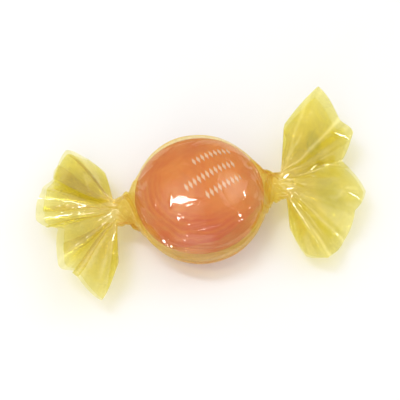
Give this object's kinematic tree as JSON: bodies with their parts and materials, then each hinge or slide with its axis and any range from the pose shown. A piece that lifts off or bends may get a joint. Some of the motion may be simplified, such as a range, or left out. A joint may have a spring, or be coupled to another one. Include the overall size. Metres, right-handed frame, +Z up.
{
  "type": "twist-wrapped boiled caramel sweet",
  "caption": "Round amber boiled sweet in clear yellow film, twisted shut at both ends with a ruffled fan of film beyond each twist.",
  "frame": {"origin": "on the ground under the middle of the wrapper's bounding box", "axes": "+X along the twists from fan to fan, +Z up through the flat of the sweet"},
  "size_m": [0.0628, 0.0356, 0.0146],
  "materials": {
    "film": "glossy clear yellow film",
    "sweet": "glossy amber boiled sugar"
  },
  "bodies": {
    "root": {"wrapped_candy": "film"}
  },
  "joints": []
}
